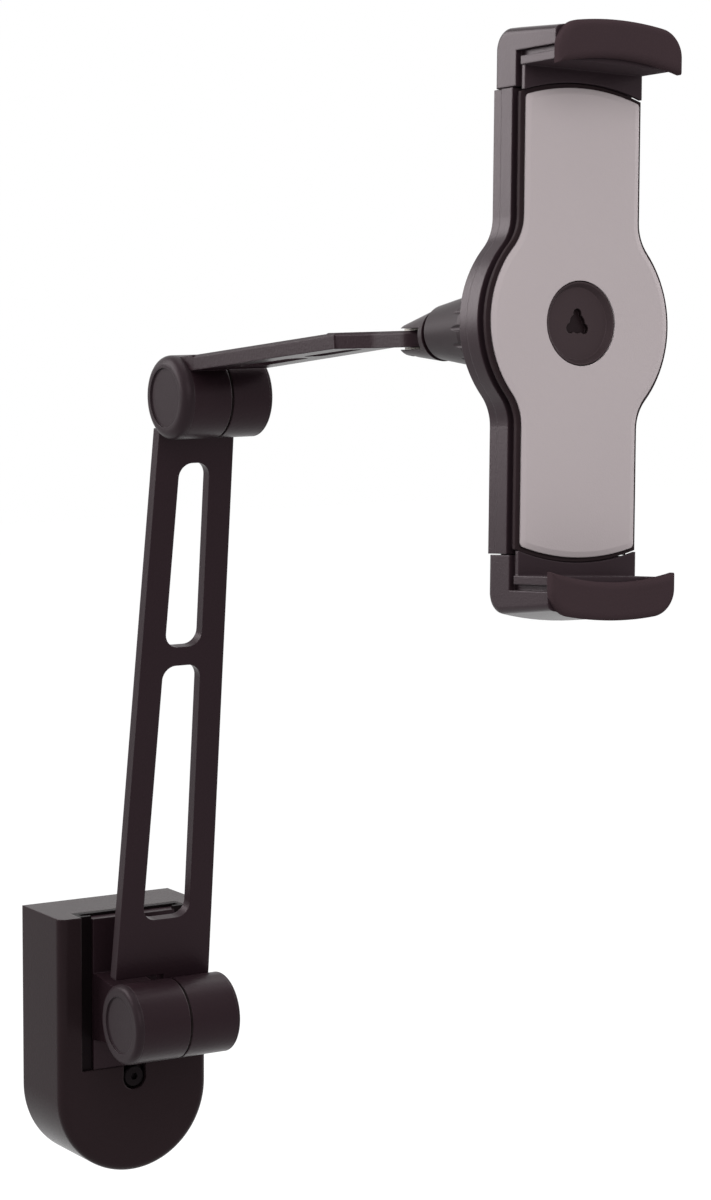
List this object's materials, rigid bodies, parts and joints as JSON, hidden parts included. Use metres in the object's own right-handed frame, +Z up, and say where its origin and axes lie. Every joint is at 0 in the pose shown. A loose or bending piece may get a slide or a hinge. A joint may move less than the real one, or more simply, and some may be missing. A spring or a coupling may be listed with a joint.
{
  "type": "tablet wall mount",
  "caption": "Wall mount for a tablet: rounded wall plate, slotted folding arm on barrel hinges, and a ball-jointed cradle with sliding rubber-tipped jaws.",
  "frame": {"origin": "on the wall's surface, behind the lower hinge's axis and level with it, on the wall plate's centre line", "axes": "+Y into the wall, +Z up, +X along the hinge axes, to the right for a person who faces the wall"},
  "size_m": [0.0647, 0.3188, 0.3986],
  "materials": {
    "plate_plastic": "fine matte, black",
    "channel_steel": "black painted steel",
    "arm_metal": "black powder coat on die-cast aluminium",
    "cap_plastic": "satin, charcoal",
    "fastener_steel": "plain steel",
    "dark_steel": "black oxide",
    "nylon": "natural nylon",
    "cradle_plastic": "satin, charcoal black",
    "grey_plate": "smooth satin, warm grey",
    "soft_rubber": "matte",
    "gear_plastic": "natural acetal"
  },
  "bodies": {
    "wall": {"wall_plate": "plate_plastic", "guide_channel": "channel_steel"},
    "lock_screw": {"lock_screw": "dark_steel"},
    "bracket": {"slide_bracket": "arm_metal", "lower_hinge_bolt": "fastener_steel", "lower_friction_washer": "nylon", "lower_flat_washer": "fastener_steel", "lower_spring_washer": "fastener_steel", "lower_hinge_nut": "fastener_steel", "lower_left_cap": "cap_plastic"},
    "lower_arm": {"lower_arm": "arm_metal", "lower_right_cap": "cap_plastic", "elbow_right_cap": "cap_plastic"},
    "upper_arm": {"upper_arm": "arm_metal", "elbow_hinge_bolt": "fastener_steel", "elbow_friction_washer": "nylon", "elbow_flat_washer": "fastener_steel", "elbow_spring_washer": "fastener_steel", "elbow_hinge_nut": "fastener_steel", "elbow_left_cap": "cap_plastic"},
    "fork": {"swivel_fork": "arm_metal", "pan_bolt": "dark_steel", "pan_washers": "nylon"},
    "seat": {"ball_seat": "nylon"},
    "cradle": {"cradle_hub": "cradle_plastic", "cradle_back": "cradle_plastic", "cradle_front": "cradle_plastic", "face_plate": "grey_plate", "cradle_screws": "dark_steel", "hub_screws": "fastener_steel"},
    "lock_nut": {"ball_lock_nut": "cradle_plastic"},
    "knob": {"centre_knob": "cap_plastic"},
    "pinion": {"jaw_pinion": "gear_plastic"},
    "top_jaw": {"top_jaw": "cradle_plastic", "top_jaw_cover": "soft_rubber"},
    "bottom_jaw": {"bottom_jaw": "cradle_plastic", "bottom_jaw_cover": "soft_rubber"}
  },
  "joints": [
    {"name": "lock_screw_turn", "type": "hinge", "parent": "wall", "child": "lock_screw", "pos_m": [0, -0.0295, -0.0274], "axis": [0, 1, 0], "continuous": true},
    {"name": "bracket_lift", "type": "slide", "parent": "wall", "child": "bracket", "axis": [0, 0, 1], "range_m": [0, 0.09]},
    {"name": "lower_hinge", "type": "hinge", "parent": "bracket", "child": "lower_arm", "pos_m": [0, -0.0575, 0], "axis": [1, 0, 0], "range_deg": [-12, 95]},
    {"name": "elbow_hinge", "type": "hinge", "parent": "lower_arm", "child": "upper_arm", "pos_m": [0, -0.0859, 0.21866], "axis": [1, 0, 0], "range_deg": [-75, 65]},
    {"name": "fork_pan", "type": "hinge", "parent": "upper_arm", "child": "fork", "pos_m": [0, -0.21263, 0.24376], "axis": [0, 0.061, 0.9981], "range_deg": [-85, 85]},
    {"name": "cradle_tilt", "type": "hinge", "parent": "fork", "child": "seat", "pos_m": [0.00085, -0.23939, 0.24728], "axis": [0.9995, 0.0314, -0.0019], "range_deg": [-9, 9]},
    {"name": "cradle_roll", "type": "hinge", "parent": "seat", "child": "cradle", "pos_m": [0.00085, -0.23939, 0.24728], "axis": [0.0314, -0.996, 0.0836], "continuous": true},
    {"name": "lock_nut_turn", "type": "hinge", "parent": "cradle", "child": "lock_nut", "pos_m": [0.00085, -0.23939, 0.24728], "axis": [0.0314, -0.996, 0.0836], "continuous": true},
    {"name": "knob_turn", "type": "hinge", "parent": "cradle", "child": "knob", "pos_m": [0.00255, -0.29357, 0.25183], "axis": [0.0314, -0.996, 0.0836], "continuous": true},
    {"name": "top_jaw_slide", "type": "slide", "parent": "cradle", "child": "top_jaw", "axis": [0.062, 0.0855, 0.9944], "range_m": [0, 0.038]},
    {"name": "bottom_jaw_slide", "type": "slide", "parent": "cradle", "child": "bottom_jaw", "axis": [-0.062, -0.0855, -0.9944], "range_m": [0, 0.038]},
    {"name": "pinion_turn", "type": "hinge", "parent": "cradle", "child": "pinion", "pos_m": [0.00255, -0.29357, 0.25183], "axis": [0.0314, -0.996, 0.0836], "range_deg": [0, 218]}
  ],
  "couplings": [
    {"joint": "bottom_jaw_slide", "follows": "top_jaw_slide", "ratio": 1},
    {"joint": "pinion_turn", "follows": "top_jaw_slide", "rad_per_m": 100}
  ]
}
